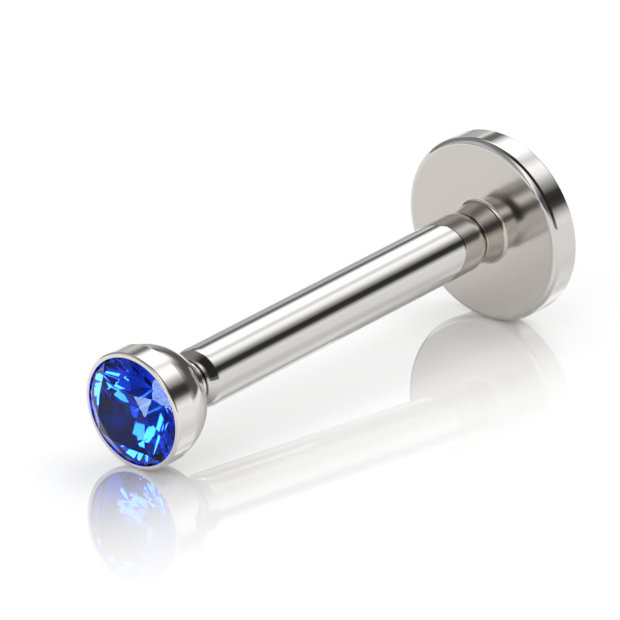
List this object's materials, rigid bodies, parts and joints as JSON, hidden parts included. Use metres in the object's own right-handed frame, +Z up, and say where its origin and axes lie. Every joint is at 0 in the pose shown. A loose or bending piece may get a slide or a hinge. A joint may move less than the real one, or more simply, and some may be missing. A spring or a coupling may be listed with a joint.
{
  "type": "labret stud",
  "caption": "Straight body-jewellery stud with a flat disc back and a screw-on bezel head holding a round faceted stone, lying on its side.",
  "frame": {"origin": "on the ground, below the middle of the lying stud", "axes": "+Y from the head to the disc along the ground, +Z up; the stud's own axis rises 4.02 degrees from the head to the disc, because it rests on the rims of both"},
  "size_m": [0.0038, 0.0112, 0.0038],
  "materials": {
    "polished_bar": "turned and polished surgical steel",
    "satin_disc": "polished rim with a fine satin face",
    "polished_bezel": "turned and polished surgical steel",
    "blue_stone": "faceted and polished blue cubic zirconia"
  },
  "bodies": {
    "post": {"bar": "polished_bar", "disc": "satin_disc"},
    "head": {"bezel_head": "polished_bezel", "gem": "blue_stone"}
  },
  "joints": [
    {"name": "head_slide", "type": "slide", "parent": "post", "child": "head", "axis": [0, -0.9975, -0.07], "range_m": [0, 0.004]}
  ]
}
